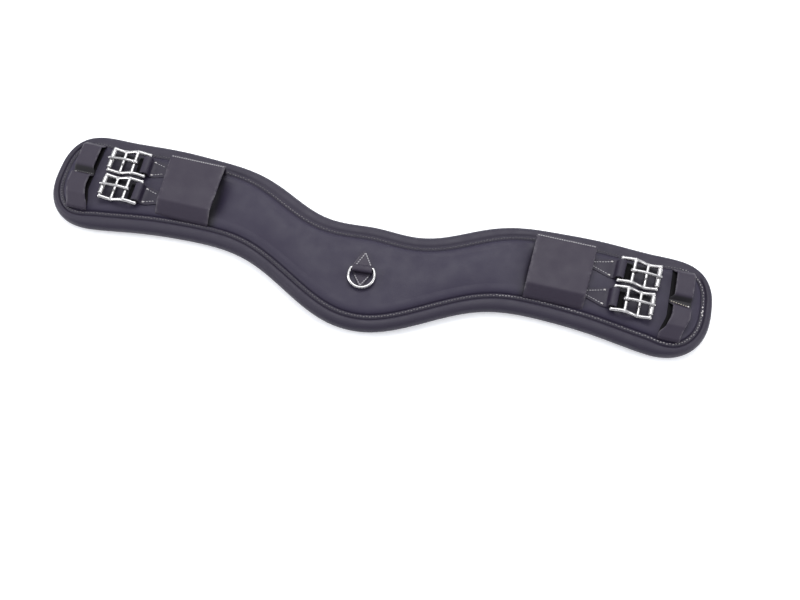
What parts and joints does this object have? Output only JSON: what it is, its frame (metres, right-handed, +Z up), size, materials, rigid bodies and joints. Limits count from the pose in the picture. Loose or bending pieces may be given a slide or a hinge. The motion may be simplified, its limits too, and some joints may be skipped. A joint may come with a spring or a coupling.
{
  "type": "saddle girth",
  "caption": "Contoured padded leather saddle girth with roller buckles, keeper sleeves, billet loops and a folding D-ring.",
  "frame": {"origin": "middle of the footprint, on the plane the lining rests on", "axes": "+X along the girth from end to end, +Y across it towards the edge hollowed for the elbows, +Z up from the lining through the buckles"},
  "size_m": [0.78, 0.1764, 0.0339],
  "materials": {
    "cover_leather": "satin",
    "lining_leather": "satin",
    "rim_leather": "satin",
    "strap_leather": "satin",
    "thread": "matte",
    "foam": "matte",
    "webbing": "matte",
    "steel": "polished"
  },
  "bodies": {
    "girth": {"liner": "lining_leather", "foam_pad": "foam", "web_core": "webbing", "cover_padding": "foam", "top_cover": "cover_leather", "edge_rim": "rim_leather", "keeper_left": "strap_leather", "billet_loops_left": "strap_leather", "chape_left_far": "strap_leather", "chape_left_near": "strap_leather", "keeper_right": "strap_leather", "billet_loops_right": "strap_leather", "chape_right_far": "strap_leather", "chape_right_near": "strap_leather", "d_ring_patch": "strap_leather", "d_ring_chape": "strap_leather"},
    "frame_left_far": {"buckle_frame_left_far": "steel"},
    "roller_left_far": {"buckle_roller_left_far": "steel"},
    "tongue_left_far": {"buckle_tongue_left_far": "steel"},
    "frame_left_near": {"buckle_frame_left_near": "steel"},
    "roller_left_near": {"buckle_roller_left_near": "steel"},
    "tongue_left_near": {"buckle_tongue_left_near": "steel"},
    "frame_right_far": {"buckle_frame_right_far": "steel"},
    "roller_right_far": {"buckle_roller_right_far": "steel"},
    "tongue_right_far": {"buckle_tongue_right_far": "steel"},
    "frame_right_near": {"buckle_frame_right_near": "steel"},
    "roller_right_near": {"buckle_roller_right_near": "steel"},
    "tongue_right_near": {"buckle_tongue_right_near": "steel"},
    "ring": {"d_ring": "steel"}
  },
  "joints": [
    {"name": "frame_lift_left_far", "type": "hinge", "parent": "girth", "child": "frame_left_far", "pos_m": [-0.2825, 0.0512, 0.0254], "axis": [-0.0523, 0.9986, 0], "range_deg": [0, 78]},
    {"name": "tongue_lift_left_far", "type": "hinge", "parent": "frame_left_far", "child": "tongue_left_far", "pos_m": [-0.29678, 0.05045, 0.0285], "axis": [-0.0523, 0.9986, 0], "range_deg": [0, 105]},
    {"name": "roller_spin_left_far", "type": "hinge", "parent": "frame_left_far", "child": "roller_left_far", "pos_m": [-0.32544, 0.04895, 0.027], "axis": [-0.0523, 0.9986, 0], "continuous": true},
    {"name": "frame_lift_left_near", "type": "hinge", "parent": "girth", "child": "frame_left_near", "pos_m": [-0.2799, 0.0145, 0.0254], "axis": [-0.0314, 0.9995, 0], "range_deg": [0, 78]},
    {"name": "tongue_lift_left_near", "type": "hinge", "parent": "frame_left_near", "child": "tongue_left_near", "pos_m": [-0.29419, 0.01405, 0.0285], "axis": [-0.0314, 0.9995, 0], "range_deg": [0, 105]},
    {"name": "roller_spin_left_near", "type": "hinge", "parent": "frame_left_near", "child": "roller_left_near", "pos_m": [-0.32288, 0.01315, 0.027], "axis": [-0.0314, 0.9995, 0], "continuous": true},
    {"name": "frame_lift_right_far", "type": "hinge", "parent": "girth", "child": "frame_right_far", "pos_m": [0.2825, 0.0512, 0.0254], "axis": [-0.0523, -0.9986, 0], "range_deg": [0, 78]},
    {"name": "tongue_lift_right_far", "type": "hinge", "parent": "frame_right_far", "child": "tongue_right_far", "pos_m": [0.29678, 0.05045, 0.0285], "axis": [-0.0523, -0.9986, 0], "range_deg": [0, 105]},
    {"name": "roller_spin_right_far", "type": "hinge", "parent": "frame_right_far", "child": "roller_right_far", "pos_m": [0.32544, 0.04895, 0.027], "axis": [-0.0523, -0.9986, 0], "continuous": true},
    {"name": "frame_lift_right_near", "type": "hinge", "parent": "girth", "child": "frame_right_near", "pos_m": [0.2799, 0.0145, 0.0254], "axis": [-0.0314, -0.9995, 0], "range_deg": [0, 78]},
    {"name": "tongue_lift_right_near", "type": "hinge", "parent": "frame_right_near", "child": "tongue_right_near", "pos_m": [0.29419, 0.01405, 0.0285], "axis": [-0.0314, -0.9995, 0], "range_deg": [0, 105]},
    {"name": "roller_spin_right_near", "type": "hinge", "parent": "frame_right_near", "child": "roller_right_near", "pos_m": [0.32288, 0.01315, 0.027], "axis": [-0.0314, -0.9995, 0], "continuous": true},
    {"name": "d_ring_swing", "type": "hinge", "parent": "girth", "child": "ring", "pos_m": [-0.0009, -0.0178, 0.0252], "axis": [-0.9903, -0.1392, 0], "range_deg": [0, 165]}
  ]
}
